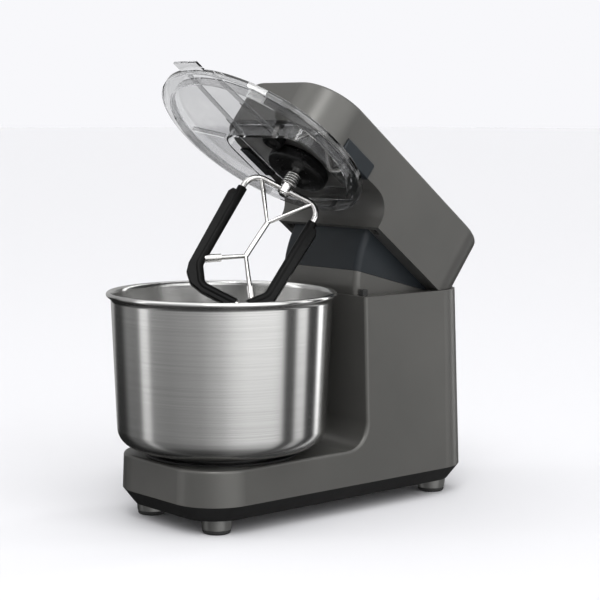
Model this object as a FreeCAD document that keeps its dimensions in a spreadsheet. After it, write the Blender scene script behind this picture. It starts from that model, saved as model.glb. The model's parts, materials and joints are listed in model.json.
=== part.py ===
import FreeCAD, Part
import math
import os
import re
import Sketcher

# Tilt-head dough mixer: a hollow base with a column, a turning steel bowl, a head that tilts
# back on a hinge at the top of the column, a flat beater and a clear splash guard.
#
# Every sub-part is drawn in one working frame, in millimetres: +Z up, the bowl's axis at
# x = y = 0, the column towards +Y and the head closed. Its Placement then moves it into the
# part's frame, whose origin is on the floor under the middle of the mixer with its head open.

SIZES = [
    ("bowl_y", -98.4, "bowl axis, from the middle of the open mixer"),
    ("tilt", 38, "how far the head opens, degrees"),
    ("hinge_y", 243, "hinge line, behind the bowl axis"),
    ("hinge_z", 240, "hinge line, above the floor"),
    ("gap", 0.3, "clearance between pieces that move past each other"),
    ("run_fit", 0.05, "radial clearance of a shaft in its bore"),
    # base
    ("wall", 3, "wall of the base and neck castings"),
    ("base_half", 89.1, "half width of the base where it meets its pan"),
    ("base_front", -89.6, "front of the base"),
    ("base_rear", 298.4, "rear of the base"),
    ("base_corner", 50, "plan radius of the base's corners"),
    ("draft", 2.04, "lean of the base's sides, degrees"),
    ("pan_low", 13.5, "underside of the base pan"),
    ("pan_high", 30, "joint between base pan and housing"),
    ("pan_draft", 37.8, "lean of the pan's sides, degrees"),
    ("tray_top", 67.5, "top of the tray under the bowl"),
    ("ledge", 229, "top of the column"),
    ("column_front", 129.7, "front face of the column"),
    ("cove", 28, "hollow curve between tray and column"),
    ("edge_round", 3.4, "rounding of the tray's and column's edges"),
    ("neck_half", 62, "half width of the neck"),
    ("neck_round", 7, "rounding of the neck's front corners"),
    ("drum", 109, "radius of the neck's front about the hinge"),
    ("drum_sweep", 36, "how far the drum rises above the hinge, degrees"),
    ("neck_rear", 268, "rear of the neck"),
    ("seam_z", 256, "front of the seam between neck and hinge cover"),
    ("seam_lean", 15, "fall of that seam towards the rear, degrees"),
    ("lift", 1.7, "height of the whole mixer above the sketches' floor, filled by the feet"),
    ("foot_rad", 16.2, "radius of a foot at its top"),
    ("foot_tip", 15.2, "radius of a foot where its rubber pad starts"),
    ("foot_x", 56, "feet, out from the middle"),
    ("foot_front", -51.4, "front feet"),
    ("foot_back", 258, "rear feet"),
    ("pad_high", 4, "height of a foot's rubber pad"),
    ("bumper_x", 69, "bumpers on the ledge"),
    ("bumper_y", 138.5, "bumpers on the ledge"),
    ("bumper_size", 7, "side of a bumper"),
    # bowl drive
    ("seat_rad", 82, "radius of the black seat in the tray"),
    ("table_rad", 70, "radius of the turntable"),
    ("table_top", 71, "top of the turntable"),
    ("spindle_rad", 10, "radius of the bowl spindle"),
    ("big_pulley", 50, "radius of the bowl pulley"),
    ("small_pulley", 14, "radius of the motor pulley"),
    ("belt_low", 48, "underside of the belt"),
    ("belt_wide", 9, "width of the belt"),
    ("belt_thick", 2.4, "thickness of the belt"),
    ("motor_y", 213, "bowl motor's axis"),
    ("motor_rad", 42, "radius of the bowl motor"),
    ("motor_low", 72, "underside of the bowl motor"),
    ("deck_low", 176, "underside of the chassis deck"),
    ("deck_thick", 8, "thickness of the chassis deck"),
    ("hinge_rad", 4.5, "radius of the hinge shaft"),
    ("bush_rad", 6.2, "outside of the bronze bushes on the hinge shaft"),
    # bowl
    ("rim_rad", 121, "outside radius of the bowl's rim"),
    ("rim_z", 238, "top of the bowl's rim"),
    ("rim_bead", 2.8, "radius of the rolled rim"),
    ("bowl_top_rad", 116, "outside of the bowl wall under the rim"),
    ("bowl_low_rad", 110.4, "outside of the bowl wall above its bottom corner"),
    ("bowl_floor", 75, "underside of the bowl"),
    ("bowl_corner", 21, "radius of the bowl's bottom corner"),
    ("steel", 1, "thickness of the bowl's steel"),
    ("foot_ring", 54, "radius of the ring under the bowl"),
    # head
    ("head_half", 82, "half width of the head"),
    ("head_front", -16, "front of the head"),
    ("head_rear", 290, "rear of the head"),
    ("head_top", 313, "top of the head"),
    ("head_low", 262, "underside of the head over the bowl"),
    ("skirt_low", 230.2, "lower edge of the head's skirt"),
    ("nose_round", 51, "plan radius of the head's front corners"),
    ("tail_round", 50, "plan radius of the head's rear corners"),
    ("crown_round", 20, "rounding of the head's top rear edge"),
    ("head_edge", 3, "rounding of the head's top edge"),
    ("chin_y", 129, "lower edge of the head's chin"),
    ("chin_cove", 26, "hollow curve from the underside to the chin"),
    ("shell", 3.5, "wall of the head casting"),
    ("button_low", 259.5, "underside of a release button"),
    ("button_high", 278, "top of a release button"),
    ("button_front", 36, "front of a release button"),
    ("button_rear", 83, "rear of a release button"),
    ("button_in", 69.5, "inner face of a release button"),
    ("button_out", 84.6, "outer face of a release button"),
    # tool
    ("tool_y", 58, "tool axis, behind the bowl axis"),
    ("hub_rad", 34.6, "radius of the black hub cover"),
    ("hub_low", 246, "underside of the hub cover"),
    ("socket_y", 11, "breaker-bar socket"),
    ("socket_rad", 12, "radius of the breaker-bar socket"),
    ("shaft_rad", 5, "radius of the tool shaft"),
    ("shaft_low", 216.5, "lower end of the tool shaft"),
    ("tool_turn", 45, "how far the beater is turned at rest, degrees"),
    ("rod", 3.3, "radius of the beater's rods"),
    ("beater_top", 224, "the beater's top bar"),
    ("beater_low", 84.5, "the beater's bottom bar"),
    ("shoulder", 31, "ends of the top bar"),
    ("nut_across", 7.6, "corners of the beater's nut, out from its axis"),
    ("blade_x", 42.5, "lower ends of the side rods inside the scrapers"),
    ("blade_flare", 3, "how far the scrapers lean out with the bowl's wall"),
    ("blade_top", 204, "upper ends of the scrapers"),
    ("blade_low", 100, "lower ends of the scrapers' straight edges"),
    ("blade_reach", 50, "outer edge of the scrapers at its lower end"),
    ("blade_thick", 10.5, "thickness of the scrapers"),
    # guard
    ("guard_rad", 119, "radius of the splash guard"),
    ("guard_top", 246.8, "top of the guard's plate"),
    ("guard_thick", 2.2, "wall of the guard"),
    ("guard_skirt", 240.5, "lower edge of the guard's rim"),
    ("collar_half", 66, "half width of the guard's collar"),
    ("collar_front", -9, "front of the guard's collar"),
    ("collar_rear", 104, "rear of the guard's collar"),
    ("collar_round", 24, "plan radius of the collar's corners"),
    ("tab_half", 19, "half width of the guard's front tab"),
    ("tab_long", 11, "length of the guard's front tab"),
    # controls
    ("dial_y", 214, "speed dial"),
    ("dial_z", 150, "speed dial"),
    ("dial_rad", 18.5, "radius of the speed dial"),
    ("inlet_z", 62, "mains inlet"),
]

doc = FreeCAD.newDocument("DoughMixer")
sheet = doc.addObject("Spreadsheet::Sheet", "Sizes")
for row, (alias, value, note) in enumerate(SIZES, start=1):
    sheet.set(f"A{row}", note)
    sheet.set(f"B{row}", str(value))
    sheet.setAlias(f"B{row}", alias)
doc.recompute()

ALIAS = re.compile(r"\b(" + "|".join(alias for alias, _, _ in SIZES) + r")\b")
subparts = []


# ---------------------------------------------------------------- expressions and placements

def ex(text):
    """The expression for a sum of sheet sizes, such as 'base_half - wall'."""
    return ALIAS.sub(r"Sizes.\1", str(text))


def num(text):
    """The value of such a sum, in millimetres or degrees."""
    return float(sheet.evalExpression(ex(text)))


def bind(obj, prop, text):
    obj.setExpression(prop, ex(text))


def vec(x, y, z):
    return FreeCAD.Vector(num(x), num(y), num(z))


def moved(place, x=0, y=0, z=0, turn=None):
    """A placement further along, at x, y, z of the given one, and turned there."""
    return place.multiply(FreeCAD.Placement(vec(x, y, z), turn or FreeCAD.Rotation()))


def turned_about(axis, angle):
    return FreeCAD.Rotation(FreeCAD.Vector(*axis), num(angle))


HOME = FreeCAD.Placement()
ON_BASE = FreeCAD.Placement(vec(0, "bowl_y", "lift"), FreeCAD.Rotation())
HINGE = moved(ON_BASE, 0, "hinge_y", "hinge_z", turned_about((1, 0, 0), "-tilt"))
ON_HEAD = moved(HINGE, 0, "-hinge_y", "-hinge_z")
TOOL = moved(ON_HEAD, 0, "tool_y", 0, turned_about((0, 0, 1), "tool_turn"))
ALONG_X = FreeCAD.Rotation(FreeCAD.Vector(0, 1, 0), 90)
# the drafted side wall at the dial and the drafted rear wall at the inlet, each with its
# outward normal as local +Z
DIAL = moved(HOME, "-(base_half - (dial_z - pan_high) * tan(draft))", "dial_y", "dial_z",
             turned_about((0, 1, 0), "draft - 90"))
INLET = moved(HOME, 0, "base_rear - (inlet_z - pan_high) * tan(draft)", "inlet_z",
              turned_about((1, 0, 0), "draft - 90"))


def keep(obj, node, place):
    """Names a finished sub-part and puts it in its place."""
    obj.Label = node
    obj.Placement = place
    subparts.append(obj)
    return obj


# ---------------------------------------------------------------- sketches and features

def new_body(name):
    return doc.addObject("PartDesign::Body", name)


def sketch_on(body, role, height="0"):
    """A sketch on one of the body's origin planes, raised along that plane's normal."""
    plane = next(item for item in body.Origin.OriginFeatures if item.Role == role)
    sketch = body.newObject("Sketcher::SketchObject", body.Name + "_outline")
    sketch.AttachmentSupport = (plane, [""])
    sketch.MapMode = "FlatFace"
    bind(sketch, "AttachmentOffset.Base.z", height)
    return sketch


def arc_between(start, end, radius, side):
    """The shorter arc from start to end; side 1 bulges to the left of the way from start."""
    chord = end - start
    middle = (start + end) * 0.5
    left = FreeCAD.Vector(-chord.y, chord.x, 0).normalize()
    rise = math.sqrt(max(radius ** 2 - (chord.Length / 2) ** 2, 0))
    centre = middle - left * (rise * side)
    first, last = (end, start) if side > 0 else (start, end)
    angles = [math.atan2(point.y - centre.y, point.x - centre.x) for point in (first, last)]
    if angles[1] < angles[0]:
        angles[1] += 2 * math.pi
    circle = Part.Circle(centre, FreeCAD.Vector(0, 0, 1), radius)
    return Part.ArcOfCircle(circle, *angles)


def outline(sketch, points, arcs=None):
    """A closed outline. arcs gives the radius and side of the edge that leaves a point."""
    arcs = arcs or {}
    spots = [FreeCAD.Vector(num(x), num(y), 0) for x, y in points]
    starts = []
    ends = []
    for index, spot in enumerate(spots):
        goal = spots[(index + 1) % len(spots)]
        if index in arcs:
            radius, side = arcs[index]
            edge = sketch.addGeometry(arc_between(spot, goal, num(radius), side), False)
            constraint = sketch.addConstraint(Sketcher.Constraint("Radius", edge, num(radius)))
            bind(sketch, f"Constraints[{constraint}]", radius)
            starts.append((edge, 2 if side > 0 else 1))
            ends.append((edge, 1 if side > 0 else 2))
        else:
            edge = sketch.addGeometry(Part.LineSegment(spot, goal), False)
            starts.append((edge, 1))
            ends.append((edge, 2))
    for index, (x, y) in enumerate(points):
        sketch.addConstraint(Sketcher.Constraint("Coincident", *ends[index - 1], *starts[index]))
        for kind, text, value in (("DistanceX", x, spots[index].x), ("DistanceY", y, spots[index].y)):
            constraint = sketch.addConstraint(
                Sketcher.Constraint(kind, -1, 1, *starts[index], value))
            bind(sketch, f"Constraints[{constraint}]", text)
    return sketch


def rounded_rectangle(half, front, rear, front_radius, rear_radius):
    """Points and arcs of a rectangle in plan with rounded corners."""
    f, r = front_radius, rear_radius
    points = [
        (f"-({half}) + {f}", front), (f"{half} - {f}", front),
        (half, f"{front} + {f}"), (half, f"{rear} - {r}"),
        (f"{half} - {r}", rear), (f"-({half}) + {r}", rear),
        (f"-({half})", f"{rear} - {r}"), (f"-({half})", f"{front} + {f}"),
    ]
    return points, {1: (f, -1), 3: (r, -1), 5: (r, -1), 7: (f, -1)}


def pad(body, sketch, length, both=False, down=False, taper=None):
    feature = body.newObject("PartDesign::Pad", body.Name + "_pad")
    feature.Profile = sketch
    bind(feature, "Length", length)
    feature.Midplane = both
    feature.Reversed = down
    if taper:
        bind(feature, "TaperAngle", taper)
    return feature


def pocket_through(body, sketch):
    """Cuts the sketch's region right through the body, both ways."""
    before = volume_of(body)
    feature = body.newObject("PartDesign::Pocket", body.Name + "_pocket")
    feature.Profile = sketch
    feature.Type = "ThroughAll"
    feature.Midplane = True
    if volume_of(body) >= before:
        raise RuntimeError(f"{body.Name}: a pocket cut nothing")
    return feature


def volume_of(body):
    doc.recompute()
    return body.Shape.Volume


def round_edges(body, radius, wanted):
    """Fillets the edges of the body's last feature that the wanted test picks."""
    doc.recompute()
    last = body.Tip
    names = [f"Edge{index}" for index, edge in enumerate(last.Shape.Edges, start=1) if wanted(edge)]
    feature = body.newObject("PartDesign::Fillet", body.Name + "_round")
    feature.Base = (last, names)
    bind(feature, "Radius", radius)
    doc.recompute()
    return feature


def turned(name, points, arcs=None):
    """A body turned about its own Z axis from an outline of radius and height."""
    body = new_body(name)
    sketch = outline(sketch_on(body, "XZ_Plane"), points, arcs)
    feature = body.newObject("PartDesign::Revolution", body.Name + "_turn")
    feature.Profile = sketch
    feature.ReferenceAxis = (sketch, ["V_Axis"])
    feature.Angle = 360
    return body


def ring(name, inner, outer, low, high):
    return turned(name, [(inner, low), (outer, low), (outer, high), (inner, high)])


def block(name, x, y, z, place=HOME):
    """A box between the low and high of each direction."""
    box = doc.addObject("Part::Box", name)
    for prop, (low, high) in (("Length", x), ("Width", y), ("Height", z)):
        bind(box, prop, f"({high}) - ({low})")
    box.Placement = moved(place, x[0], y[0], z[0])
    return box


def cylinder(name, radius, low, high, place=HOME):
    """A cylinder along the local Z of its placement."""
    rod = doc.addObject("Part::Cylinder", name)
    bind(rod, "Radius", radius)
    bind(rod, "Height", f"({high}) - ({low})")
    rod.Placement = moved(place, 0, 0, low)
    return rod


def fuse(name, shapes):
    joined = doc.addObject("Part::MultiFuse", name)
    joined.Shapes = shapes
    joined.Refine = True
    return joined


def cut(name, base, tools):
    """The base with one or more tools cut away."""
    feature = doc.addObject("Part::Cut", name)
    feature.Base = base
    feature.Tool = tools[0] if len(tools) == 1 else fuse(name + "_tools", tools)
    return feature


def common(name, first, second):
    feature = doc.addObject("Part::Common", name)
    feature.Base = first
    feature.Tool = second
    return feature


# ---------------------------------------------------------------- base

def housing_solid(name, inset):
    """Tray and column in one, drawn in from the outer skin by an inset."""
    body = new_body(name)
    points, arcs = rounded_rectangle(f"base_half - {inset}", f"base_front + {inset}",
                                     f"base_rear - {inset}", f"(base_corner - {inset})",
                                     f"(base_corner - {inset})")
    plan = outline(sketch_on(body, "XY_Plane", "pan_high"), points, arcs)
    pad(body, plan, f"ledge - {inset} - pan_high", taper="-draft")
    step = sketch_on(body, "YZ_Plane")
    front = f"column_front + {inset}"
    floor = f"tray_top - {inset}"
    outline(step, [("base_front - 20", floor), (f"{front} - cove", floor),
                   (front, f"{floor} + cove"), (front, "ledge + 20"),
                   ("base_front - 20", "ledge + 20")], {1: ("cove", -1)})
    pocket_through(body, step)
    return body


def base_housing():
    outer = housing_solid("housing_outer", "0")
    round_edges(outer, "edge_round", housing_rim)
    inner = housing_solid("housing_inner", "wall")
    well = cylinder("housing_well", "seat_rad - 3", "tray_top - 10", "tray_top + 10")
    hatch = block("housing_hatch", ("-56", "56"), ("150", "neck_rear - 6"), ("ledge - 10", "ledge + 10"))
    dial_hole = cylinder("housing_dial_hole", "dial_rad + 4", -12, 12, DIAL)
    window = block("housing_window", (36.8, 51.2), (-22.2, 22.2), (-12, 12), DIAL)
    inlet_hole = block("housing_inlet_hole", (-15.4, 15.4), (-11.4, 11.4), (-12, 12), INLET)
    shell = cut("housing_shell", outer, [inner, well, hatch, dial_hole, window, inlet_hole])
    keep(shell, "base_housing", ON_BASE)


def housing_rim(edge):
    """The run of edges round the tray's top, up the cove and up the column's front corners."""
    middle = edge.valueAt((edge.FirstParameter + edge.LastParameter) / 2)
    on_tray = abs(middle.z - num("tray_top")) < 0.01
    on_column = abs(middle.y - num("column_front")) < 0.01
    in_cove = math.hypot(middle.y - num("column_front - cove"), middle.z - num("tray_top + cove"))
    on_cove = abs(in_cove - num("cove")) < 0.01
    across = abs(middle.x) < 1 and middle.y > 0
    at_ledge = abs(middle.z - num("ledge")) < 0.01
    return (on_tray or on_column or on_cove) and not across and not at_ledge


def base_pan():
    body = new_body("pan_outer")
    points, arcs = rounded_rectangle("base_half", "base_front", "base_rear", "base_corner", "base_corner")
    pad(body, outline(sketch_on(body, "XY_Plane", "pan_high"), points, arcs),
        "pan_high - pan_low", down=True, taper="-pan_draft")
    hollow = new_body("pan_hollow")
    points, arcs = rounded_rectangle("(base_half - 16)", "base_front + 16", "base_rear - 16",
                                     "(base_corner - 16)", "(base_corner - 16)")
    pad(hollow, outline(sketch_on(hollow, "XY_Plane", "pan_low + wall"), points, arcs), "pan_high")
    holes = [cylinder(f"pan_hole_{index}", "2.1", "pan_low - 2", "pan_low + 8", moved(HOME, x, y))
             for index, (x, y) in enumerate(screw_spots())]
    vents = [block(f"pan_vent_{index}", (-22, 22), (-1.5, 1.5), ("pan_low - 2", "pan_low + 8"),
                   moved(HOME, 0, f"motor_y + 8 * {index - 3}")) for index in range(7)]
    keep(cut("pan_shell", body, [hollow] + holes + vents), "base_pan", ON_BASE)
    shanks = [screw(index, x, y) for index, (x, y) in enumerate(screw_spots())]
    keep(fuse("screw_set", shanks), "base_screws", ON_BASE)


def screw_spots():
    """Six screws in two rows along the pan."""
    return [(side * 30, y) for side in (-1, 1) for y in (-40, 90, 240)]


def screw(index, x, y):
    body = turned(f"screw_{index}", [
        ("0", "pan_low - 1.6"), ("2.6", "pan_low - 1.6"), ("3.8", "pan_low - 0.6"), ("3.8", "pan_low"),
        ("2", "pan_low"), ("2", "pan_low + 8"), ("0", "pan_low + 8")])
    body.Placement = moved(HOME, x, y)
    return body


def feet():
    corners = {"front_left": ("-foot_x", "foot_front"), "front_right": ("foot_x", "foot_front"),
               "rear_left": ("-foot_x", "foot_back"), "rear_right": ("foot_x", "foot_back")}
    for corner, (x, y) in corners.items():
        pad_top = "pad_high - lift"
        foot = turned(f"foot_{corner}_body", [
            ("0", pad_top), ("foot_tip - 0.6", pad_top), ("foot_tip", "pad_high - lift + 0.6"),
            ("foot_rad", "pan_low"), ("0", "pan_low")])
        keep(foot, f"foot_{corner}", moved(ON_BASE, x, y))
        rubber = turned(f"pad_{corner}_body", [
            ("0", "-lift"), ("foot_tip - 3", "-lift"), ("foot_tip - 0.6", "2.4 - lift"),
            ("foot_tip - 0.6", pad_top), ("0", pad_top)], {1: ("2.4", -1)})
        keep(rubber, f"foot_pad_{corner}", moved(ON_BASE, x, y))


def neck_solid(name, inset):
    """The neck's block: its front is a drum about the hinge line."""
    body = new_body(name)
    radius = f"(drum - {inset})"
    front = f"hinge_y - {radius}"
    top_y = f"hinge_y - {radius} * cos(drum_sweep)"
    top_z = f"hinge_z + {radius} * sin(drum_sweep)"
    side = outline(sketch_on(body, "YZ_Plane"), [
        (front, "ledge"), (front, "hinge_z"), (top_y, top_z), ("205", top_z),
        (f"neck_rear - {inset}", f"254 - {inset}"), (f"neck_rear - {inset}", "ledge")],
        {1: (radius, 1)})
    pad(body, side, f"2 * (neck_half - {inset})", both=True)
    return body


def neck():
    outer = neck_solid("neck_outer", "0")
    round_edges(outer, "neck_round", neck_corner)
    inner = neck_solid("neck_inner", "wall")
    slot = block("neck_floor", ("-58", "58"), ("hinge_y - drum + wall", "neck_rear - wall"),
                 ("ledge - 5", "ledge + 5"))
    wall = cut("neck_wall", outer, [inner, slot])
    seam_turn = turned_about((1, 0, 0), "-seam_lean")
    below = moved(HOME, 0, "hinge_y - drum", "seam_z", seam_turn)
    lower = block("below_seam", (-90, 90), (-20, 160), (-90, 0), below)
    lower_gap = block("below_seam_gap", (-90, 90), (-20, 160), (-90, 0.4), below)
    keep(common("neck_lower", wall, lower), "neck_shell", ON_BASE)
    bore = cylinder("cover_bore", "hinge_rad + 1", -80, 80,
                    moved(HOME, 0, "hinge_y", "hinge_z", ALONG_X))
    keep(cut("neck_upper", wall, [lower_gap, bore]), "hinge_cover", ON_BASE)


def neck_corner(edge):
    """The neck's upright front corners, flat and curved part alike."""
    middle = edge.valueAt((edge.FirstParameter + edge.LastParameter) / 2)
    reach = math.hypot(middle.y - num("hinge_y"), middle.z - num("hinge_z"))
    flat_part = abs(middle.y - num("hinge_y - drum")) < 0.01 and middle.z > num("ledge") + 1
    drum_part = abs(reach - num("drum")) < 0.01 and middle.z > num("hinge_z")
    return (flat_part or drum_part) and abs(abs(middle.x) - num("neck_half")) < 0.01


def bumpers():
    for side, sign in (("left", -1), ("right", 1)):
        rubber = new_body(f"bumper_{side}_body")
        half = "bumper_size / 2"
        plan = outline(sketch_on(rubber, "XY_Plane", "ledge"), [
            (f"-{half}", f"-{half}"), (half, f"-{half}"), (half, half), (f"-{half}", half)])
        pad(rubber, plan, "bumper_size")
        round_edges(rubber, "0.9", lambda edge: edge.BoundBox.ZMax > num("ledge") + 0.1)
        keep(rubber, f"bumper_{side}", moved(ON_BASE, f"{sign} * bumper_x", "bumper_y"))


# ---------------------------------------------------------------- bowl and its drive

def bowl_seat():
    """A black dish let into the tray, with a hole for the spindle."""
    keep(turned("seat_dish", [
        ("spindle_rad + 3", "tray_top - 5.5"), ("seat_rad - 3.2", "tray_top - 5.5"),
        ("seat_rad - 3.2", "tray_top"), ("seat_rad", "tray_top"), ("seat_rad - 0.8", "tray_top + 1.2"),
        ("seat_rad - 6", "tray_top + 1.2"), ("seat_rad - 7", "tray_top - 2.5"),
        ("spindle_rad + 3", "tray_top - 2.5")]), "bowl_seat", ON_BASE)


def turntable():
    plate = turned("table_plate", [
        ("0", "tray_top - 1.5"), ("table_rad - 2", "tray_top - 1.5"), ("table_rad", "tray_top"),
        ("table_rad", "table_top - 0.8"), ("table_rad - 0.8", "table_top"), ("0", "table_top")])
    pegs = [cylinder(f"table_peg_{index}", "4", "table_top - 1", "table_top + 3",
                     moved(HOME, 0, 0, 0, turned_about((0, 0, 1), f"{120 * index}"))
                     .multiply(FreeCAD.Placement(vec("foot_ring - 8", 0, 0), FreeCAD.Rotation())))
            for index in range(3)]
    keep(fuse("table_with_pegs", [plate] + pegs), "turntable", ON_BASE)
    keep(turned("spindle_bar", [
        ("0", "pan_low + wall + 2"), ("spindle_rad", "pan_low + wall + 2"),
        ("spindle_rad", "tray_top - 1.5"), ("0", "tray_top - 1.5")]), "bowl_spindle", ON_BASE)
    keep(pulley("bowl_pulley_body", "spindle_rad", "big_pulley"), "bowl_pulley", ON_BASE)
    bore = "spindle_rad + run_fit"
    keep(turned("spindle_stand", [
        (bore, "pan_low + wall"), ("40", "pan_low + wall"), ("40", "pan_low + wall + 5"),
        ("26", "pan_low + wall + 5"), ("22", "pan_low + wall + 9"), ("22", "belt_low - 4"),
        (bore, "belt_low - 4")]), "spindle_housing", ON_BASE)


def pulley(name, bore, radius):
    """A flat pulley with a flange on each side of its belt."""
    low, high = "belt_low - 0.6", "belt_low + belt_wide + 0.6"
    return turned(name, [
        (bore, f"{low} - 2"), (f"{radius} + 3.4", f"{low} - 2"), (f"{radius} + 3.4", low),
        (radius, low), (radius, high), (f"{radius} + 3.4", high),
        (f"{radius} + 3.4", f"{high} + 2"), (bore, f"{high} + 2")])


def bowl_drive():
    keep(turned("motor_case", [
        ("5 + run_fit", "motor_low"), ("motor_rad - 6", "motor_low"), ("motor_rad", "motor_low + 6"),
        ("motor_rad", "deck_low"), ("0", "deck_low"), ("0", "motor_low + 30"),
        ("5 + run_fit", "motor_low + 30")]), "bowl_motor", moved(ON_BASE, 0, "motor_y"))
    keep(turned("motor_bar", [
        ("0", "belt_low - 3"), ("5", "belt_low - 3"), ("5", "motor_low + 29"), ("0", "motor_low + 29")]),
        "motor_shaft", moved(ON_BASE, 0, "motor_y"))
    keep(pulley("motor_pulley_body", "5", "small_pulley"), "motor_pulley", moved(ON_BASE, 0, "motor_y"))
    belt = doc.addObject("Part::Feature", "belt_loop")
    inner = belt_loop("big_pulley + gap", "small_pulley + gap")
    outer = belt_loop("big_pulley + gap + belt_thick", "small_pulley + gap + belt_thick")
    belt.Shape = outer.cut(inner)
    keep(belt, "bowl_belt", ON_BASE)


def belt_loop(near, far):
    """A slab bounded by two pulley rims and their outer tangents."""
    near, far, span = num(near), num(far), num("motor_y")
    lean = math.asin((near - far) / span)
    low = num("belt_low")
    z_axis = FreeCAD.Vector(0, 0, 1)
    centres = (FreeCAD.Vector(0, 0, low), FreeCAD.Vector(0, span, low))
    right_near = FreeCAD.Vector(near * math.cos(lean), near * math.sin(lean), low)
    right_far = FreeCAD.Vector(far * math.cos(lean), span + far * math.sin(lean), low)
    left_far = FreeCAD.Vector(-right_far.x, right_far.y, low)
    left_near = FreeCAD.Vector(-right_near.x, right_near.y, low)
    far_arc = Part.ArcOfCircle(Part.Circle(centres[1], z_axis, far), lean, math.pi - lean)
    near_arc = Part.ArcOfCircle(Part.Circle(centres[0], z_axis, near), math.pi - lean, 2 * math.pi + lean)
    edges = [Part.LineSegment(right_near, right_far).toShape(), far_arc.toShape(),
             Part.LineSegment(left_far, left_near).toShape(), near_arc.toShape()]
    return Part.Face(Part.Wire(edges)).extrude(z_axis * num("belt_wide"))


def chassis():
    """Deck on four posts, with two cheeks that hold the hinge shaft."""
    deck_top = "deck_low + deck_thick"
    pieces = [block("deck", (-66, 66), (156, 272), ("deck_low", deck_top))]
    for name, low, high in (("left", -54, -46), ("right", 46, 54)):
        pieces.append(block(f"cheek_{name}", (low, high), (226, 258), (f"{deck_top} - 1", "hinge_z + 12")))
    for index, (x, y) in enumerate([(-58, 165), (58, 165), (-58, 262), (58, 262)]):
        pieces.append(cylinder(f"post_{index}", "7", "pan_low + wall", "deck_low + 1", moved(HOME, x, y)))
    bore = cylinder("cheek_bore", "hinge_rad", -90, 90, moved(HOME, 0, "hinge_y", "hinge_z", ALONG_X))
    keep(cut("frame_bored", fuse("frame_fused", pieces), [bore]), "chassis", ON_BASE)
    shaft = cylinder("hinge_bar", "hinge_rad", "-head_half + shell + 1.5", "head_half - shell - 1.5")
    keep(shaft, "hinge_shaft", moved(ON_BASE, "-head_half + shell + 1.5", "hinge_y", "hinge_z", ALONG_X))


def bowl():
    """Spun steel bowl with a rolled rim and a large bottom corner."""
    lean = "(bowl_top_rad - bowl_low_rad)"
    neck_z = "rim_z - rim_bead * 2"
    bead = "rim_rad - rim_bead"
    corner_z = "bowl_floor + bowl_corner"
    keep(turned("bowl_wall", [
        ("0", "bowl_floor"), ("bowl_low_rad - bowl_corner", "bowl_floor"),
        ("bowl_low_rad", corner_z), ("bowl_top_rad", "rim_z - 9"),
        (bead, neck_z), (bead, "rim_z"),
        ("bowl_top_rad - steel", "rim_z - 5"), ("bowl_top_rad - steel", "rim_z - 9"),
        ("bowl_low_rad - steel", corner_z),
        ("bowl_low_rad - bowl_corner", "bowl_floor + steel"), ("0", "bowl_floor + steel")],
        {1: ("bowl_corner", -1), 4: ("rim_bead", -1), 5: ("9", 1),
         8: ("bowl_corner - steel", 1)}), "bowl", ON_BASE)
    foot = ring("foot_band", "foot_ring - 16", "foot_ring", "table_top", "bowl_floor")
    notches = [cylinder(f"foot_notch_{index}", "4.3", "table_top - 1", "bowl_floor - 0.8",
                        moved(HOME, 0, 0, 0, turned_about((0, 0, 1), f"{120 * index}"))
                        .multiply(FreeCAD.Placement(vec("foot_ring - 8", 0, 0), FreeCAD.Rotation())))
               for index in range(3)]
    keep(cut("foot_notched", foot, notches), "bowl_foot_ring", ON_BASE)


# ---------------------------------------------------------------- head

def head_solid(name, inset):
    """The head's block, drawn in from the outer skin by an inset."""
    body = new_body(name)
    points, arcs = rounded_rectangle(f"head_half - {inset}", f"head_front + {inset}",
                                     f"head_rear - {inset}", f"(nose_round - {inset})",
                                     f"(tail_round - {inset})")
    low = f"skirt_low + {inset}"
    plan = outline(sketch_on(body, "XY_Plane", low), points, arcs)
    pad(body, plan, f"head_top - {inset} - ({low})")
    under = f"head_low + {inset}"
    chin = f"chin_y + {inset}"
    bend = f"(chin_cove + {inset})"
    pocket_through(body, outline(sketch_on(body, "YZ_Plane"), [
        ("head_front - 20", under), ("chin_y - chin_cove", under),
        (chin, "head_low - chin_cove"), (chin, "skirt_low - 20"), ("head_front - 20", "skirt_low - 20")],
        {1: (bend, 1)}))
    lift = f"(hinge_z - ledge - 0.4 - {inset})"
    foot_y = f"hinge_y + {lift} * sin(tilt)"
    foot_z = f"hinge_z - {lift} * cos(tilt)"
    pocket_through(body, outline(sketch_on(body, "YZ_Plane"), [
        (f"{foot_y} - 60 * cos(tilt)", f"{foot_z} - 60 * sin(tilt)"),
        (f"{foot_y} + 80 * cos(tilt)", f"{foot_z} + 80 * sin(tilt)"),
        (f"{foot_y} + 80 * cos(tilt)", f"{foot_z} - 60 * sin(tilt)")]))
    crown = f"(crown_round - {inset})"
    rear, top = f"head_rear - {inset}", f"head_top - {inset}"
    pocket_through(body, outline(sketch_on(body, "YZ_Plane"), [
        (f"{rear} - {crown}", top), (rear, f"{top} - {crown}"), (f"{rear} + 20", f"{top} - {crown}"),
        (f"{rear} + 20", f"{top} + 20"), (f"{rear} - {crown}", f"{top} + 20")], {0: (crown, 1)}))
    return body


def crown_edge(edge):
    """The edge round the flat of the head's top."""
    box = edge.BoundBox
    level = abs(box.ZMin - num("head_top")) < 0.01
    straight_across = abs(box.YMax - box.YMin) < 0.01 and box.YMin > num("hinge_y")
    return level and not straight_across


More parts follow.
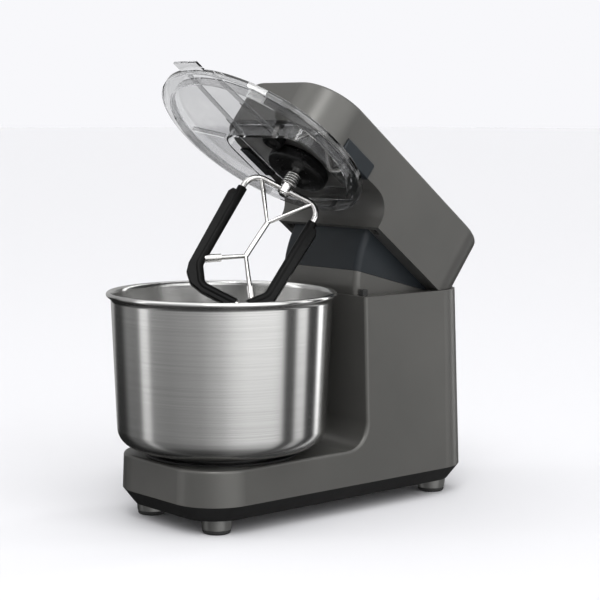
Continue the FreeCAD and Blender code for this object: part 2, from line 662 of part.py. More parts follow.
def head_shell():
    outer = head_solid("head_outer", "0")
    round_edges(outer, "head_edge", crown_edge)
    inner = head_solid("head_inner", "shell")
    slot = new_body("head_slot")
    reach = "(drum + 2 * gap)"
    side = outline(sketch_on(slot, "YZ_Plane"), [
        (f"hinge_y - sqrt({reach}^2 - 15^2)", "hinge_z - 15"),
        (f"hinge_y - sqrt({reach}^2 - 45^2)", "hinge_z + 45"),
        ("head_rear - shell", "hinge_z + 45"), ("head_rear - shell", "hinge_z - 15")],
        {0: (reach, 1)})
    pad(slot, side, "2 * (neck_half + 2 * gap)", both=True)
    tools = [inner, slot]
    for name, sign in (("left", -1), ("right", 1)):
        low, high = sorted((sign * 62.3, sign * 90))
        tools.append(block(f"button_gap_{name}", (low, high), ("button_front - gap", "button_rear + gap"),
                           ("button_low - 5", "button_high + gap")))
        centre = f"{sign} * bumper_x"
        half = "(bumper_size / 2 + 1)"
        tools.append(block(f"bumper_gap_{name}", (f"{centre} - {half}", f"{centre} + {half}"),
                           (f"bumper_y - {half}", f"bumper_y + {half}"), ("skirt_low - 3", "ledge + 10")))
    tools.append(cylinder("hub_gap", "shaft_rad + 6", "head_low - 5", "head_low + 10",
                          moved(HOME, 0, "tool_y")))
    keep(cut("head_hollow", outer, tools), "head_shell", ON_HEAD)
    inset = "shell + 1.2"
    for name, start in (("left", f"-head_half + {inset}"), ("right", "neck_half + 1.5")):
        length = f"head_half - ({inset}) - neck_half - 1.5"
        bush = ring(f"bush_{name}", "hinge_rad + run_fit", "bush_rad", "0", length)
        keep(bush, f"hinge_bush_{name}", moved(ON_HEAD, start, "hinge_y", "hinge_z", ALONG_X))


def release_buttons():
    for name, sign in (("left", -1), ("right", 1)):
        body = new_body(f"button_{name}")
        corner = "2.5"
        low, high = ("button_in", "button_out") if sign > 0 else ("-button_out", "-button_in")
        points = [("button_front", "button_low"), ("button_rear", "button_low"),
                  ("button_rear", f"button_high - {corner}"), (f"button_rear - {corner}", "button_high"),
                  (f"button_front + {corner}", "button_high"), ("button_front", f"button_high - {corner}")]
        side = outline(sketch_on(body, "YZ_Plane", low), points, {2: (corner, -1), 4: (corner, -1)})
        pad(body, side, f"({high}) - ({low})")
        round_edges(body, "1.6", lambda edge: abs(abs(edge.BoundBox.XMin) - num("button_out")) < 0.01
                    and abs(abs(edge.BoundBox.XMax) - num("button_out")) < 0.01)
        keep(body, f"release_button_{name}", ON_HEAD)


def tool_drive():
    """Flat motor over the tool, black hub cover and the breaker bar's socket."""
    at_tool = moved(ON_HEAD, 0, "tool_y")
    bore = "shaft_rad + run_fit"
    keep(turned("head_motor_case", [
        (bore, "head_low + shell + 0.2"), ("42", "head_low + shell + 0.2"), ("46", "head_low + 10"),
        ("46", "head_top - shell - 10"), ("42", "head_top - shell - 5"), ("0", "head_top - shell - 5"),
        ("0", "head_top - shell - 9"), (bore, "head_top - shell - 9")]), "head_motor", at_tool)
    keep(turned("hub_disc", [
        (bore, "hub_low + 3"), ("15", "hub_low + 3"), ("18", "hub_low"), ("hub_rad - 3", "hub_low"),
        ("hub_rad", "hub_low + 3"), ("hub_rad", "head_low - 5"), ("hub_rad - 4", "head_low"),
        (bore, "head_low")], {3: ("3", -1)}), "hub_cover", at_tool)
    at_socket = moved(ON_HEAD, 0, "socket_y")
    keep(turned("socket_cup", [
        ("6.2", "head_low - 12"), ("socket_rad - 2", "head_low - 12"), ("socket_rad", "head_low - 10"),
        ("socket_rad", "head_low"), ("0", "head_low"), ("0", "head_low - 6"), ("6.2", "head_low - 6")]),
        "breaker_socket", at_socket)
    keep(turned("socket_bolt_body", [
        ("0", "head_low - 10"), ("4.6", "head_low - 10"), ("5.4", "head_low - 9"), ("5.4", "head_low - 6"),
        ("0", "head_low - 6")]), "socket_bolt", at_socket)


def splash_guard():
    """Clear disc with a rim, a raised collar round the hub, ribs and a lifting tab."""
    plate_low = "guard_top - guard_thick"
    disc = turned("guard_disc", [
        ("0", plate_low), ("guard_rad - 12 - guard_thick", plate_low),
        ("guard_rad - 12 - guard_thick", "guard_skirt - 4"), ("guard_rad - 12", "guard_skirt - 4"),
        ("guard_rad - 12", plate_low), ("guard_rad - guard_thick", plate_low),
        ("guard_rad - guard_thick", "guard_skirt"), ("guard_rad", "guard_skirt"),
        ("guard_rad", "guard_top - 0.6"), ("guard_rad - 0.6", "guard_top"), ("0", "guard_top")])
    collar = collar_solid("guard_collar", "0", plate_low, "head_low - 0.3")
    mouth = collar_solid("guard_mouth", "guard_thick", "guard_skirt - 10", "head_low + 5")
    tab = block("guard_tab", ("-tab_half", "tab_half"), ("-guard_rad - tab_long", "-guard_rad + 3"),
                (plate_low, "guard_top"))
    ribs = [guard_rib(f"guard_rib_{index}", *ends) for index, ends in enumerate(rib_ends())]
    solid = fuse("guard_solid", [disc, collar, tab] + ribs)
    keep(cut("guard_open", solid, [mouth]), "splash_guard", ON_HEAD)


def collar_solid(name, inset, low, high):
    body = new_body(name)
    points, arcs = rounded_rectangle(f"collar_half - {inset}", f"collar_front + {inset}",
                                     f"collar_rear - {inset}", f"(collar_round - {inset})",
                                     f"(collar_round - {inset})")
    pad(body, outline(sketch_on(body, "XY_Plane", low), points, arcs), f"({high}) - ({low})")
    return body


def rib_ends():
    """Two ribs from the front of the rim to the collar, and one to each of its front corners."""
    pairs = []
    for sign in (-1, 1):
        pairs.append(((sign * 20, -106), (sign * 27, -8)))
        pairs.append(((sign * 106, -16), (sign * 62, -4)))
    return pairs


def guard_rib(name, start, end):
    run = math.hypot(end[0] - start[0], end[1] - start[1])
    angle = math.degrees(math.atan2(end[1] - start[1], end[0] - start[0]))
    place = moved(HOME, *start, 0, turned_about((0, 0, 1), angle))
    return block(name, (0, run), (-1.1, 1.1), ("guard_top - 1", "guard_top + 5"), place)


# ---------------------------------------------------------------- tool

def tool_shaft():
    at_tool = moved(ON_HEAD, 0, "tool_y")
    keep(turned("shaft_bar", [
        ("0", "shaft_low"), ("shaft_rad - 1", "shaft_low"), ("shaft_rad", "shaft_low + 1"),
        ("shaft_rad", "head_top - shell - 10"), ("0", "head_top - shell - 10")]), "tool_shaft", at_tool)
    turns = 4
    foot = "beater_top + 7"
    pitch = f"(hub_low + 2 - ({foot})) / {turns}"
    points = [("shaft_rad + 0.1", "hub_low + 2"), ("shaft_rad + 0.1", foot)]
    for turn in range(turns):
        points.append(("shaft_rad + 1", f"{foot} + {pitch} * {turn}"))
        points.append(("shaft_rad + 2.8", f"{foot} + {pitch} * {turn + 0.5}"))
    points.append(("shaft_rad + 1", "hub_low + 2"))
    keep(turned("spring_body", points), "shaft_spring", at_tool)


def beater_rods():
    """Centre lines of the beater's rods, as pairs of points across and up its own plane."""
    top, low = num("beater_top"), num("beater_low")
    side_low, side_high = num("blade_x"), num("blade_x + blade_flare")
    left_top, right_top = (-num("shoulder") + 2, top), (num("shoulder") + 2, top)
    left_side = [(-side_high + 3, top - 7), (-side_high, num("blade_top")), (-side_low, 104)]
    right_side = [(side_low + 1.5, 108), (side_high + 1.5, num("blade_top")), (side_high - 2, top - 6)]
    upper_knot, lower_knot = (1, 180.5), (-1, 136.5)
    outer_loop = [left_top, *left_side, (-27, low), (23, low), *right_side, right_top, left_top]
    rods = list(zip(outer_loop, outer_loop[1:]))
    rods += [(left_top, upper_knot), (right_top, upper_knot), (upper_knot, lower_knot)]
    rods += [(lower_knot, (-side_low, 111)), (lower_knot, (29, 94))]
    return rods


def beater():
    radius = num("rod")
    solids = []
    joints = set()
    for start, end in beater_rods():
        foot = FreeCAD.Vector(start[0], 0, start[1])
        run = FreeCAD.Vector(end[0], 0, end[1]) - foot
        solids.append(Part.makeCylinder(radius, run.Length, foot, run))
        joints.update((start, end))
    solids += [Part.makeSphere(radius, FreeCAD.Vector(x, 0, z)) for x, z in sorted(joints)]
    frame_shape = solids[0].multiFuse(solids[1:]).removeSplitter()
    loop = doc.addObject("Part::Feature", "rod_frame")
    loop.Shape = frame_shape
    hub = beater_hub_solid()
    shaft_hole = cylinder("beater_bore", "shaft_rad + run_fit", "shaft_low - 2", "hub_low")
    keep(cut("beater_cut", fuse("beater_joined", [loop, hub]), [shaft_hole]), "beater_frame", TOOL)
    for name, blade in (("left", scraper_left()), ("right", scraper_right())):
        keep(cut(f"scraper_{name}_fitted", blade, [loop]), f"scraper_{name}", TOOL)


def beater_hub_solid():
    """Hexagonal nut that the top bar is welded to."""
    body = new_body("beater_hub")
    corners = [(f"nut_across * cos({60 * side})", f"nut_across * sin({60 * side})") for side in range(6)]
    plan = outline(sketch_on(body, "XY_Plane", "beater_top - 5.5"), corners)
    pad(body, plan, "12")
    return body


def scraper_left():
    """Soft edge round the left side rod, the corner and the bottom bar."""
    tip = "-blade_x - blade_flare"
    low_out, low_in = "beater_low - 7.3", "beater_low + 4.6"
    return scraper("scraper_left_bar", [
        (f"{tip} + 5", "blade_top"), ("-blade_x + 5", 111), (-24, low_in), (15, low_in), (15, low_out),
        (-22, low_out), (-37.5, 80.5), (-47, 90), ("-blade_reach", "blade_low"),
        ("-blade_reach - blade_flare", "blade_top - 11"), (f"{tip} - 4.6", "blade_top - 6"),
        (f"{tip} - 4.6", "blade_top")])


def scraper_right():
    """Soft edge round the right side rod and its lower corner."""
    tip = "blade_x + blade_flare + 1.5"
    return scraper("scraper_right_bar", [
        (f"{tip} - 5", "blade_top"), (f"{tip} + 4.6", "blade_top"), (f"{tip} + 4.6", "blade_top - 6"),
        ("blade_reach + blade_flare + 1", "blade_top - 11"), ("blade_reach", "blade_low + 3"),
        (31, "beater_low - 3"), (21.5, "beater_low + 4"), ("blade_x - 3.5", 109)])


def scraper(name, points):
    body = new_body(name)
    pad(body, outline(sketch_on(body, "XZ_Plane"), points), "blade_thick", both=True)
    return body


# ---------------------------------------------------------------- controls

def controls():
    on_dial = ON_BASE.multiply(DIAL)
    keep(turned("bezel_ring", [
        ("dial_rad + 1", -6), ("dial_rad + 3.8", -6), ("dial_rad + 3.8", 0), ("dial_rad + 7", 0),
        ("dial_rad + 6", 2.4), ("dial_rad + 1", 2.4)]), "dial_bezel", on_dial)
    keep(turned("dial_body", [
        (0, -12), (3, -12), (3, 1), ("dial_rad", 1), ("dial_rad", 14), ("dial_rad - 2", 16),
        ("dial_rad - 5", 16), ("dial_rad - 7", 15), (0, 15)], {4: (2, 1)}), "speed_dial", on_dial)
    keep(turned("encoder_can", [
        ("3 + run_fit", -13.5), (9, -13.5), (9, -4), ("3 + run_fit", -4)]), "dial_encoder", on_dial)
    window = doc.addObject("Part::Box", "window_pane")
    window.Length, window.Width, window.Height = 14, 44, 3.6
    keep(window, "display_window", moved(on_dial, 37, -22, -3))
    board = doc.addObject("Part::Box", "board_sheet")
    board.Length, board.Width, board.Height = 1.6, 74, 96
    keep(board, "control_board", moved(ON_BASE, -69.8, 178, 108))


def power_inlet():
    on_inlet = ON_BASE.multiply(INLET)
    case = fuse("inlet_case", [block("inlet_flange", (-19, 19), (-14, 14), (0, 2)),
                               block("inlet_barrel", (-15, 15), (-11, 11), (-22, 1))])
    well = block("inlet_well", (-12.3, 12.3), (-8.4, 8.4), (-17, 5))
    keep(cut("inlet_hollow", case, [well]), "power_inlet", on_inlet)
    blades = [block(f"inlet_blade_{index}", (x - 1, x + 1), (y - 2, y + 2), (-17, -4))
              for index, (x, y) in enumerate([(-7, 2), (0, -3), (7, 2)])]
    plate = block("inlet_bus", (-9, 9), (-6, 5), (-17, -16))
    keep(fuse("inlet_contacts", blades + [plate]), "inlet_pins", on_inlet)


# ---------------------------------------------------------------- build, check and write

base_housing()
base_pan()
feet()
neck()
bumpers()
bowl_seat()
turntable()
bowl_drive()
chassis()
bowl()
head_shell()
release_buttons()
tool_drive()
splash_guard()
tool_shaft()
beater()
controls()
power_inlet()
doc.recompute()

for obj in doc.Objects:
    if "Invalid" in obj.State or "Error" in obj.State:
        raise RuntimeError(f"{obj.Name} ({obj.Label}) failed: {obj.State}")
for obj in subparts:
    shape = obj.Shape
    solids = len(screw_spots()) if obj.Label == "base_screws" else 1
    if shape.isNull() or not shape.isValid() or len(shape.Solids) != solids:
        raise RuntimeError(f"{obj.Label}: bad shape, {len(shape.Solids)} solids")

os.makedirs("parts", exist_ok=True)
for obj in subparts:
    obj.Shape.exportStep(f"parts/{obj.Label}.step")
print(f"{len(subparts)} sub-parts written")
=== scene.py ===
import json
import math

import bpy
from mathutils import Matrix, Vector


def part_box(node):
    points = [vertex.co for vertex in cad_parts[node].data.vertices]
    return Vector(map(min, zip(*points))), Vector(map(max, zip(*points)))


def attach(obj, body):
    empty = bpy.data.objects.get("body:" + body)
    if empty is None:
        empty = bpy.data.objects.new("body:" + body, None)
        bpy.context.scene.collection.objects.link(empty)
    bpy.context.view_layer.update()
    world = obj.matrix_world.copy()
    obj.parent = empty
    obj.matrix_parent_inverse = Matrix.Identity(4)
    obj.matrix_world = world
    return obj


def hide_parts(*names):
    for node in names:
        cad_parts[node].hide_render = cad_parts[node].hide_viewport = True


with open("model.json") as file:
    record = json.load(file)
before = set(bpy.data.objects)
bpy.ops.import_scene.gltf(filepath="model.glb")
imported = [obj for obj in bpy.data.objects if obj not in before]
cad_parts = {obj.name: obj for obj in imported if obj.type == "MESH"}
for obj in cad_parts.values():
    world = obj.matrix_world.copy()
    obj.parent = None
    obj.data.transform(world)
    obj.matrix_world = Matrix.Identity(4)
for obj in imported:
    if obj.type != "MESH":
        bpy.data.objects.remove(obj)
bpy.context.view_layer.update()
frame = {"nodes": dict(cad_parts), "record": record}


# ---------------------------------------------------------------- node helpers

def new_material(name):
    material = bpy.data.materials.new(name)
    material.use_nodes = True
    tree = material.node_tree
    return material, tree, tree.nodes["Principled BSDF"]


def node(tree, kind, **values):
    """A shader node with its properties and unlinked inputs set."""
    made = tree.nodes.new(kind)
    for key, value in values.items():
        if key in made.inputs:
            made.inputs[key].default_value = value
        else:
            setattr(made, key, value)
    return made


def link(tree, source, target):
    tree.links.new(source, target)


def object_coords(tree):
    return node(tree, "ShaderNodeTexCoord").outputs["Object"]


def noise(tree, coords, scale, detail=4.0, roughness=0.55):
    made = node(tree, "ShaderNodeTexNoise", Scale=scale, Detail=detail, Roughness=roughness)
    link(tree, coords, made.inputs["Vector"])
    return made.outputs["Fac"]


def ramp(tree, source, low, high):
    """Maps a noise value to colours from low to high, over the middle of its range."""
    made = tree.nodes.new("ShaderNodeValToRGB")
    made.color_ramp.elements[0].position = 0.3
    made.color_ramp.elements[1].position = 0.7
    made.color_ramp.elements[0].color = (*low, 1.0)
    made.color_ramp.elements[1].color = (*high, 1.0)
    link(tree, source, made.inputs["Fac"])
    return made.outputs["Color"]


def spread(tree, source, low, high):
    """Maps a 0..1 value to low..high."""
    made = tree.nodes.new("ShaderNodeMapRange")
    made.inputs["To Min"].default_value = low
    made.inputs["To Max"].default_value = high
    link(tree, source, made.inputs["Value"])
    return made.outputs["Result"]


def bump(tree, shader, height, strength, distance):
    """Adds a fine relief to a shader; the distance is its depth in metres."""
    made = node(tree, "ShaderNodeBump", Strength=strength, Distance=distance)
    link(tree, height, made.inputs["Height"])
    link(tree, made.outputs["Normal"], shader.inputs["Normal"])


# ---------------------------------------------------------------- materials

def powder_coat(name, low, high, metallic, rough):
    """Satin metallic paint: fine orange peel, faint tone drift and tiny flake."""
    material, tree, shader = new_material(name)
    coords = object_coords(tree)
    drift = noise(tree, coords, 9.0, 3.0)
    flake = noise(tree, coords, 2600.0, 2.0)
    base = ramp(tree, drift, low, high)
    sparkle = node(tree, "ShaderNodeMix", data_type="RGBA", blend_type="OVERLAY")
    sparkle.inputs["Factor"].default_value = 0.16
    link(tree, base, sparkle.inputs["A"])
    link(tree, ramp(tree, flake, (0.35,) * 3, (0.65,) * 3), sparkle.inputs["B"])
    link(tree, sparkle.outputs["Result"], shader.inputs["Base Color"])
    link(tree, spread(tree, noise(tree, coords, 60.0, 4.0), *rough), shader.inputs["Roughness"])
    shader.inputs["Metallic"].default_value = metallic
    bump(tree, shader, noise(tree, coords, 900.0, 2.0), 0.06, 0.0002)
    return material


def moulded(name, low, high, rough=(0.42, 0.55), grain=1400.0, strength=0.12, metallic=0.0,
            gloss=0.5):
    """Moulded plastic or rubber with a fine spark-eroded grain."""
    material, tree, shader = new_material(name)
    coords = object_coords(tree)
    link(tree, ramp(tree, noise(tree, coords, 22.0), low, high), shader.inputs["Base Color"])
    link(tree, spread(tree, noise(tree, coords, 140.0), *rough), shader.inputs["Roughness"])
    shader.inputs["Metallic"].default_value = metallic
    shader.inputs["Specular IOR Level"].default_value = gloss
    bump(tree, shader, noise(tree, coords, grain, 3.0), strength, 0.0002)
    return material


def polar_coords(tree, centre, across, along, around):
    """Coordinates about an upright axis: distance out, height and angle, each scaled."""
    shifted = node(tree, "ShaderNodeVectorMath", operation="SUBTRACT")
    link(tree, object_coords(tree), shifted.inputs[0])
    shifted.inputs[1].default_value = centre
    parts = node(tree, "ShaderNodeSeparateXYZ")
    link(tree, shifted.outputs["Vector"], parts.inputs[0])
    angle = node(tree, "ShaderNodeMath", operation="ARCTAN2")
    link(tree, parts.outputs["Y"], angle.inputs[0])
    link(tree, parts.outputs["X"], angle.inputs[1])
    flat = node(tree, "ShaderNodeCombineXYZ")
    link(tree, parts.outputs["X"], flat.inputs["X"])
    link(tree, parts.outputs["Y"], flat.inputs["Y"])
    radius = node(tree, "ShaderNodeVectorMath", operation="LENGTH")
    link(tree, flat.outputs["Vector"], radius.inputs[0])
    joined = node(tree, "ShaderNodeCombineXYZ")
    for source, scale, target in ((radius.outputs["Value"], across, "X"),
                                  (parts.outputs["Z"], along, "Y"), (angle.outputs[0], around, "Z")):
        scaled = node(tree, "ShaderNodeMath", operation="MULTIPLY")
        link(tree, source, scaled.inputs[0])
        scaled.inputs[1].default_value = scale
        link(tree, scaled.outputs[0], joined.inputs[target])
    return joined.outputs["Vector"]


def brushed_bowl(name, centre):
    """Stainless steel brushed round and round: long fine lines about the bowl's axis."""
    material, tree, shader = new_material(name)
    lines_at = polar_coords(tree, centre, 1150.0, 1150.0, 0.7)
    lines = noise(tree, lines_at, 1.0, 4.0, 0.6)
    broad_at = polar_coords(tree, centre, 90.0, 90.0, 0.9)
    broad = noise(tree, broad_at, 1.0, 3.0, 0.6)
    link(tree, ramp(tree, lines, (0.61, 0.608, 0.60), (0.71, 0.708, 0.70)), shader.inputs["Base Color"])
    mixed = node(tree, "ShaderNodeMath", operation="ADD")
    link(tree, spread(tree, lines, 0.205, 0.228), mixed.inputs[0])
    link(tree, spread(tree, broad, -0.008, 0.008), mixed.inputs[1])
    link(tree, mixed.outputs[0], shader.inputs["Roughness"])
    shader.inputs["Metallic"].default_value = 1.0
    shader.inputs["Anisotropic"].default_value = 0.8
    shader.inputs["Anisotropic Rotation"].default_value = 0.25
    tangent = node(tree, "ShaderNodeTangent", direction_type="RADIAL", axis="Z")
    link(tree, tangent.outputs["Tangent"], shader.inputs["Tangent"])
    bump(tree, shader, lines, 0.004, 0.00004)
    return material


def polished(name, low, high, rough=(0.06, 0.14)):
    """Polished or ground steel with faint handling marks."""
    material, tree, shader = new_material(name)
    coords = object_coords(tree)
    link(tree, ramp(tree, noise(tree, coords, 120.0), low, high), shader.inputs["Base Color"])
    link(tree, spread(tree, noise(tree, coords, 400.0, 5.0), *rough), shader.inputs["Roughness"])
    shader.inputs["Metallic"].default_value = 1.0
    bump(tree, shader, noise(tree, coords, 500.0, 3.0), 0.006, 0.0001)
    return material


def clear_plastic(name):
    """Clear moulded plastic with a faint ripple."""
    material, tree, shader = new_material(name)
    coords = object_coords(tree)
    link(tree, ramp(tree, noise(tree, coords, 30.0), (0.56, 0.565, 0.565), (0.62, 0.62, 0.62)),
         shader.inputs["Base Color"])
    link(tree, spread(tree, noise(tree, coords, 90.0), 0.02, 0.06), shader.inputs["Roughness"])
    shader.inputs["Transmission Weight"].default_value = 1.0
    shader.inputs["IOR"].default_value = 1.12
    shader.inputs["Coat Weight"].default_value = 1.0
    shader.inputs["Coat IOR"].default_value = 1.65
    bump(tree, shader, noise(tree, coords, 45.0, 2.0), 0.04, 0.0004)
    return material


def dark_window(name):
    """Glossy near-black glass over a display."""
    material, tree, shader = new_material(name)
    coords = object_coords(tree)
    link(tree, ramp(tree, noise(tree, coords, 60.0), (0.008, 0.009, 0.010), (0.014, 0.015, 0.017)),
         shader.inputs["Base Color"])
    link(tree, spread(tree, noise(tree, coords, 200.0), 0.05, 0.10), shader.inputs["Roughness"])
    shader.inputs["Coat Weight"].default_value = 0.6
    return material


# the heights in the pieces are in millimetres above a line LIFT above the floor: the feet raise the
# whole object by LIFT
BOWL_BOTTOM = 75
HINGE_HEIGHT = 240
bowl_low, bowl_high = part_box("bowl")
LIFT = bowl_low.z - BOWL_BOTTOM / 1000
bowl_axis = ((bowl_low.x + bowl_high.x) / 2, (bowl_low.y + bowl_high.y) / 2, 0.0)

LOOKS = {
    "body_paint": powder_coat("paint", (0.090, 0.089, 0.084), (0.106, 0.104, 0.098), 0.5, (0.31, 0.38)),
    "pan_plastic": moulded("pan_plastic", (0.010, 0.010, 0.010), (0.015, 0.015, 0.015), gloss=0.3),
    "foot_metal": polished("foot_metal", (0.24, 0.24, 0.235), (0.30, 0.30, 0.29), (0.30, 0.42)),
    "foot_rubber": moulded("foot_rubber", (0.012, 0.012, 0.012), (0.020, 0.020, 0.020), (0.6, 0.75)),
    "cover_plastic": moulded("cover_plastic", (0.014, 0.017, 0.020), (0.018, 0.022, 0.026), (0.36, 0.46),
                             gloss=0.22),
    "bowl_steel": brushed_bowl("bowl_steel", bowl_axis),
    "seat_plastic": moulded("seat_plastic", (0.009, 0.009, 0.010), (0.014, 0.014, 0.015)),
    "table_metal": polished("table_metal", (0.05, 0.05, 0.05), (0.07, 0.07, 0.07), (0.30, 0.42)),
    "shaft_steel": polished("shaft_steel", (0.66, 0.66, 0.65), (0.78, 0.78, 0.77), (0.08, 0.16)),
    "frame_casting": moulded("frame_casting", (0.28, 0.28, 0.28), (0.36, 0.36, 0.36), (0.45, 0.6),
                             500.0, 0.25, 0.9),
    "motor_case": moulded("motor_case", (0.05, 0.05, 0.055), (0.07, 0.07, 0.075)),
    "belt_rubber": moulded("belt_rubber", (0.012, 0.012, 0.012), (0.02, 0.02, 0.02), (0.6, 0.75)),
    "board_resin": moulded("board_resin", (0.01, 0.09, 0.03), (0.015, 0.12, 0.045)),
    "guard_clear": clear_plastic("guard_clear"),
    "beater_chrome": polished("beater_chrome", (0.64, 0.63, 0.62), (0.72, 0.71, 0.70), (0.05, 0.11)),
    "scraper_silicone": moulded("scraper_silicone", (0.003, 0.003, 0.003), (0.006, 0.006, 0.006),
                                (0.30, 0.38), gloss=0.07),
    "hub_plastic": moulded("hub_plastic", (0.004, 0.004, 0.004), (0.007, 0.007, 0.007), (0.22, 0.30),
                           strength=0.03, gloss=0.22),
    "display_glass": dark_window("display_glass"),
    "dial_metal": polished("dial_metal", (0.16, 0.16, 0.155), (0.21, 0.21, 0.20), (0.25, 0.36)),
    "contact_brass": polished("contact_brass", (0.62, 0.50, 0.24), (0.70, 0.57, 0.30), (0.2, 0.3)),
    "screw_steel": polished("screw_steel", (0.38, 0.38, 0.38), (0.48, 0.48, 0.48), (0.25, 0.35)),
    "bush_bronze": polished("bush_bronze", (0.42, 0.30, 0.14), (0.50, 0.37, 0.18), (0.3, 0.4)),
}

for part in frame["record"]["subparts"]:
    mesh = frame["nodes"][part["node"]].data
    mesh.materials.clear()
    mesh.materials.append(LOOKS[part["material_slot"]])


# ---------------------------------------------------------------- pieces

JOINTS = {joint["name"]: joint for joint in frame["record"]["behaviour"]["joints"]}
TILT = math.radians(38)  # the head is open by this much at rest
HEAD_Y = Vector((0, math.cos(TILT), -math.sin(TILT)))
HEAD_Z = Vector((0, math.sin(TILT), math.cos(TILT)))
ACROSS = (Vector((1, 0, 0)) + HEAD_Y) * math.sqrt(0.5)
THROUGH = (HEAD_Y - Vector((1, 0, 0))) * math.sqrt(0.5)
TOOL_AT = Vector(JOINTS["tool_spin"]["pos_m"])


def in_tool(x, height, depth=0.0):
    """A point on the tool in millimetres: across the beater, up and through it.

    The height is the point's height with the head closed, above the line that LIFT names."""
    return TOOL_AT + (ACROSS * x + HEAD_Z * (height - HINGE_HEIGHT) + THROUGH * depth) / 1000


def rounded(points, radii, closed=False, steps=8):
    """A path through the points with each corner turned on an arc of its radius."""
    corners = [Vector(point) for point in points]
    path = []
    for index, (corner, radius) in enumerate(zip(corners, radii)):
        if radius == 0 or (not closed and index in (0, len(corners) - 1)):
            path.append(corner)
            continue
        before = (corners[index - 1] - corner).normalized()
        after = (corners[(index + 1) % len(corners)] - corner).normalized()
        half = before.angle(after) / 2
        reach = radius / math.tan(half)
        middle = corner + (before + after).normalized() * (radius / math.sin(half))
        start, end = corner + before * reach - middle, corner + after * reach - middle
        whole = start.angle(end)
        for step in range(steps + 1):
            share = step / steps
            path.append(middle + (start * math.sin((1 - share) * whole)
                                  + end * math.sin(share * whole)) / math.sin(whole))
    return path


def finish_piece(piece, body, slot_name, *nodes):
    bpy.context.scene.collection.objects.link(piece)
    piece.data.materials.append(LOOKS[slot_name])
    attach(piece, body)
    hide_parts(*nodes)
    return piece


def tubes(name, runs):
    """Round bars along paths; each run is (points, radius in mm, closed)."""
    data = bpy.data.curves.new(name, "CURVE")
    data.dimensions = "3D"
    data.fill_mode = "FULL"
    data.bevel_depth = 0.001  # a radius of 1 on a point is then 1 mm
    data.bevel_resolution = 7
    data.use_fill_caps = True
    for points, radius, closed in runs:
        spline = data.splines.new("POLY")
        spline.points.add(len(points) - 1)
        for bar_point, point in zip(spline.points, points):
            bar_point.co = (*point, 1.0)
            bar_point.radius = radius
        spline.use_cyclic_u = closed
        spline.use_smooth = True
    return bpy.data.objects.new(name, data)


def solid(name, points, faces, smooth=True):
    """A mesh object from its points and faces."""
    mesh = bpy.data.meshes.new(name)
    mesh.from_pydata([tuple(point) for point in points], [], faces)
    mesh.validate()
    for face in mesh.polygons:
        face.use_smooth = smooth
    return bpy.data.objects.new(name, mesh)


def softened(piece, width):
    """Rounds a piece's sharp edges and keeps its flats flat."""
    bevel = piece.modifiers.new("edges", "BEVEL")
    bevel.width = width
    bevel.segments = 3
    bevel.limit_method = "ANGLE"
    bevel.angle_limit = math.radians(30)
    piece.modifiers.new("flats", "WEIGHTED_NORMAL")
    return piece


def prism(name, outline, low, high, place):
    """A plate with this outline from depth low to high; place turns (x, height, depth) into a point."""
    count = len(outline)
    points = [place(x, height, depth) for depth in (low, high) for x, height in outline]
    faces = [tuple(range(count)), tuple(reversed(range(count, 2 * count)))]
    faces += [(side, count + side, count + (side + 1) % count, (side + 1) % count) for side in range(count)]
    return solid(name, points, faces)


def lathe(name, profile, centre, x_way, y_way, z_way, segments=192, flute=None):
    """A turned piece; profile is (radius, height) in mm, flute changes a radius by angle."""
    points, faces = [], []
    for step in range(segments):
        angle = 2 * math.pi * step / segments
        out = x_way * math.cos(angle) + y_way * math.sin(angle)
        for index, (radius, height) in enumerate(profile):
            cut = flute(index, angle) if flute else 0.0
            points.append(centre + (out * (radius - cut) + z_way * height) / 1000)
    count = len(profile)
    for step in range(segments):
        here, there = step * count, ((step + 1) % segments) * count
        for index in range(count - 1):
            faces.append((here + index, there + index, there + index + 1, here + index + 1))
    made = solid(name, points, faces)
    welded = made.modifiers.new("axis", "WELD")
    welded.merge_threshold = 0.00002
    return made


def arc(centre, radius, start, end, steps):
    """Points on an arc in a profile, angles in degrees from outward towards up."""
    return [(centre[0] + radius * math.cos(math.radians(start + (end - start) * step / steps)),
             centre[1] + radius * math.sin(math.radians(start + (end - start) * step / steps)))
            for step in range(steps + 1)]


def make_bowl():
    """The spun bowl: a wall from the bottom's centre out to the rolled rim and back down inside."""
    wall, floor_rad, floor_in, corner = 1.0, 110.4, 20, 21
    rim_rad, bend, wall_top = 116.0, BOWL_BOTTOM + corner, 229
    roll_at, roll = (118.2, 235.2), 2.8
    inner_rad = rim_rad - wall
    rise, flare = wall_top - bend, rim_rad - floor_rad
    corner_at = (floor_rad - corner, bend)
    flat = [floor_in + (floor_rad - corner - floor_in) * step / 6 for step in range(6)]
    profile = [(0, BOWL_BOTTOM)] + [(radius, BOWL_BOTTOM) for radius in flat]
    profile += arc(corner_at, corner, -90, 0, 14)
    profile += [(floor_rad + flare * step / 12, bend + rise * step / 12) for step in range(1, 12)]
    profile += [(rim_rad - 0.03, wall_top - 0.7), (rim_rad, wall_top), (rim_rad + 0.9, wall_top + 1.6)]
    profile += arc(roll_at, roll, -90, 90, 14)
    profile += [(roll_at[0] - 1.7, 236.9), (roll_at[0] - 2.7, 235.3),
                (inner_rad, 233), (inner_rad, 232.4), (inner_rad, wall_top)]
    profile += [(inner_rad - flare * step / 12, wall_top - rise * step / 12) for step in range(1, 13)]
    profile += arc(corner_at, corner - wall, 0, -90, 14)[1:]
    profile += [(radius, BOWL_BOTTOM + wall) for radius in reversed(flat)] + [(0, BOWL_BOTTOM + wall)]
    centre = Vector((bowl_axis[0], bowl_axis[1], LIFT))
    piece = lathe("bowl_spun", profile, centre, Vector((1, 0, 0)), Vector((0, 1, 0)), Vector((0, 0, 1)))
    finish_piece(piece, "turntable", "bowl_steel", "bowl")


